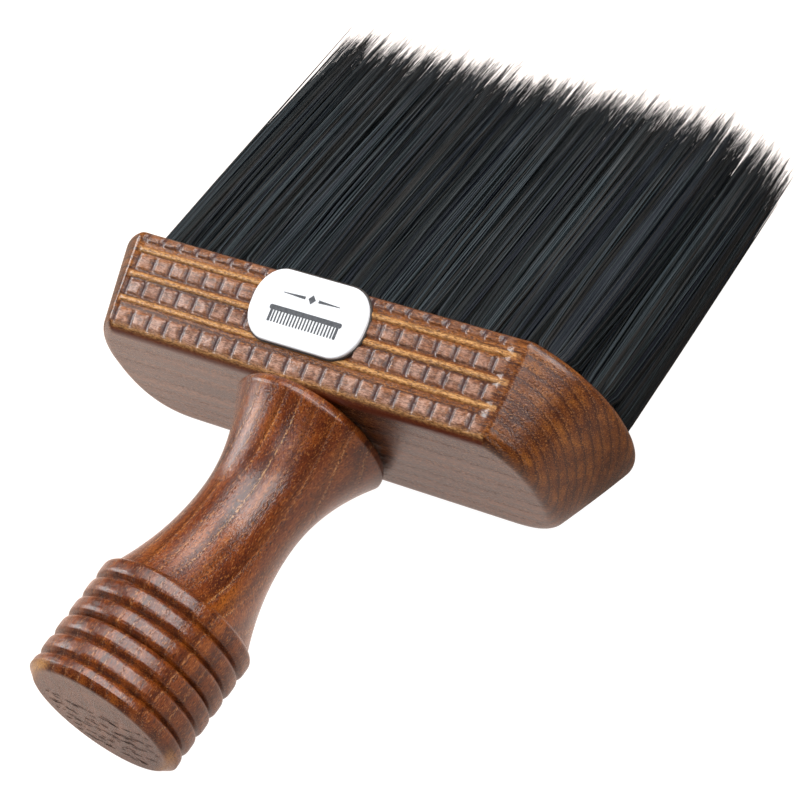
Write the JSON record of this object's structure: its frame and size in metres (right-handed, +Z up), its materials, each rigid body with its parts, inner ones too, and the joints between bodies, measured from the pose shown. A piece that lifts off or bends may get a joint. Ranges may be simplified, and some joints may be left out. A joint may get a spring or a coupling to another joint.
{
  "type": "neck duster brush",
  "caption": "Barber's neck duster: a turned wooden handle with a beaded grip, a wide flared wooden head with a carved front, and soft black bristles.",
  "frame": {"origin": "centre of the handle's flat end face", "axes": "+Y along the brush, from the handle's end to the bristle tips; +X along the head; +Z up, out of the head's carved front, with the brush lying on its back"},
  "size_m": [0.1234, 0.1496, 0.0419],
  "materials": {
    "stained_wood": "gloss",
    "bare_wood": "matte",
    "badge": "satin",
    "bristle": "matte"
  },
  "bodies": {
    "root": {"handle": "stained_wood", "handle_dowel": "bare_wood", "head_block": "stained_wood", "badge_plate": "badge", "bristle_tuft_r1_01": "bristle", "bristle_tuft_r1_02": "bristle", "bristle_tuft_r1_03": "bristle", "bristle_tuft_r1_04": "bristle", "bristle_tuft_r1_05": "bristle", "bristle_tuft_r1_06": "bristle", "bristle_tuft_r1_07": "bristle", "bristle_tuft_r1_08": "bristle", "bristle_tuft_r1_09": "bristle", "bristle_tuft_r1_10": "bristle", "bristle_tuft_r1_11": "bristle", "bristle_tuft_r1_12": "bristle", "bristle_tuft_r1_13": "bristle", "bristle_tuft_r2_01": "bristle", "bristle_tuft_r2_02": "bristle", "bristle_tuft_r2_03": "bristle", "bristle_tuft_r2_04": "bristle", "bristle_tuft_r2_05": "bristle", "bristle_tuft_r2_06": "bristle", "bristle_tuft_r2_07": "bristle", "bristle_tuft_r2_08": "bristle", "bristle_tuft_r2_09": "bristle", "bristle_tuft_r2_10": "bristle", "bristle_tuft_r2_11": "bristle", "bristle_tuft_r2_12": "bristle", "bristle_tuft_r2_13": "bristle", "bristle_tuft_r2_14": "bristle", "bristle_tuft_r3_01": "bristle", "bristle_tuft_r3_02": "bristle", "bristle_tuft_r3_03": "bristle", "bristle_tuft_r3_04": "bristle", "bristle_tuft_r3_05": "bristle", "bristle_tuft_r3_06": "bristle", "bristle_tuft_r3_07": "bristle", "bristle_tuft_r3_08": "bristle", "bristle_tuft_r3_09": "bristle", "bristle_tuft_r3_10": "bristle", "bristle_tuft_r3_11": "bristle", "bristle_tuft_r3_12": "bristle", "bristle_tuft_r3_13": "bristle", "bristle_tuft_r3_14": "bristle", "bristle_tuft_r4_01": "bristle", "bristle_tuft_r4_02": "bristle", "bristle_tuft_r4_03": "bristle", "bristle_tuft_r4_04": "bristle", "bristle_tuft_r4_05": "bristle", "bristle_tuft_r4_06": "bristle", "bristle_tuft_r4_07": "bristle", "bristle_tuft_r4_08": "bristle", "bristle_tuft_r4_09": "bristle", "bristle_tuft_r4_10": "bristle", "bristle_tuft_r4_11": "bristle", "bristle_tuft_r4_12": "bristle", "bristle_tuft_r4_13": "bristle"}
  },
  "joints": []
}
